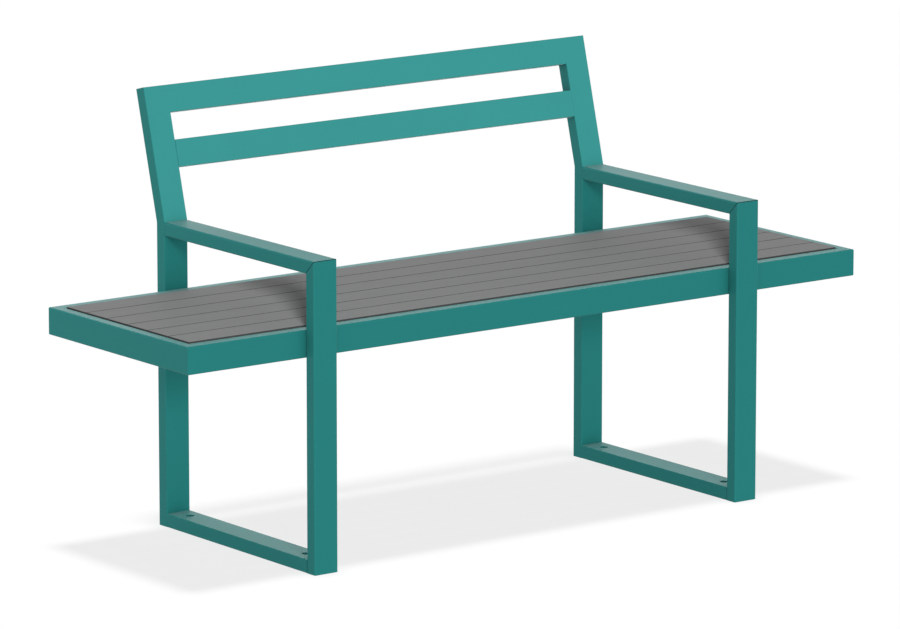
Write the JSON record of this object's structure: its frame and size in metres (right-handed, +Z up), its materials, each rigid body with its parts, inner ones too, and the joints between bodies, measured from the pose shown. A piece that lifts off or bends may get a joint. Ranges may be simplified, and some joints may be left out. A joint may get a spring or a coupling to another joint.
{
  "type": "outdoor bench with arms",
  "caption": "Outdoor bench with rectangular steel tube side loops as legs and armrests, a framed slatted seat that runs out past both loops, and a low leaning back of open rails.",
  "frame": {"origin": "on the floor, under the middle of the bench's overall box", "axes": "+X along the bench, rightwards for someone who faces its front, +Y to its back, +Z up"},
  "size_m": [1.524, 0.5588, 0.8125],
  "materials": {
    "frame_powder_coat": "smooth satin teal powder coat on welded rectangular steel tube",
    "seat_slats": "matte mid-grey solid plastic lumber with a faint lengthwise grain",
    "hardware": "plain stainless steel",
    "plugs": "black moulded polyethylene"
  },
  "bodies": {
    "root": {"left_front_leg": "frame_powder_coat", "left_armrest": "frame_powder_coat", "left_rear_post": "frame_powder_coat", "left_floor_rail": "frame_powder_coat", "left_back_upright": "frame_powder_coat", "right_front_leg": "frame_powder_coat", "right_armrest": "frame_powder_coat", "right_rear_post": "frame_powder_coat", "right_floor_rail": "frame_powder_coat", "right_back_upright": "frame_powder_coat", "back_top_rail": "frame_powder_coat", "back_lower_rail": "frame_powder_coat", "seat_front_rail": "frame_powder_coat", "seat_back_rail": "frame_powder_coat", "seat_left_end_rail": "frame_powder_coat", "seat_right_end_rail": "frame_powder_coat", "slat_bearer_1": "frame_powder_coat", "slat_bearer_2": "frame_powder_coat", "slat_bearer_3": "frame_powder_coat", "slat_bearer_4": "frame_powder_coat", "slat_bearer_5": "frame_powder_coat", "seat_slat_1": "seat_slats", "seat_slat_2": "seat_slats", "seat_slat_3": "seat_slats", "seat_slat_4": "seat_slats", "seat_slat_5": "seat_slats", "seat_slat_6": "seat_slats", "slat_screws": "hardware", "seat_frame_bolts": "hardware", "seat_frame_nuts": "hardware", "foot_plugs": "plugs"}
  },
  "joints": []
}
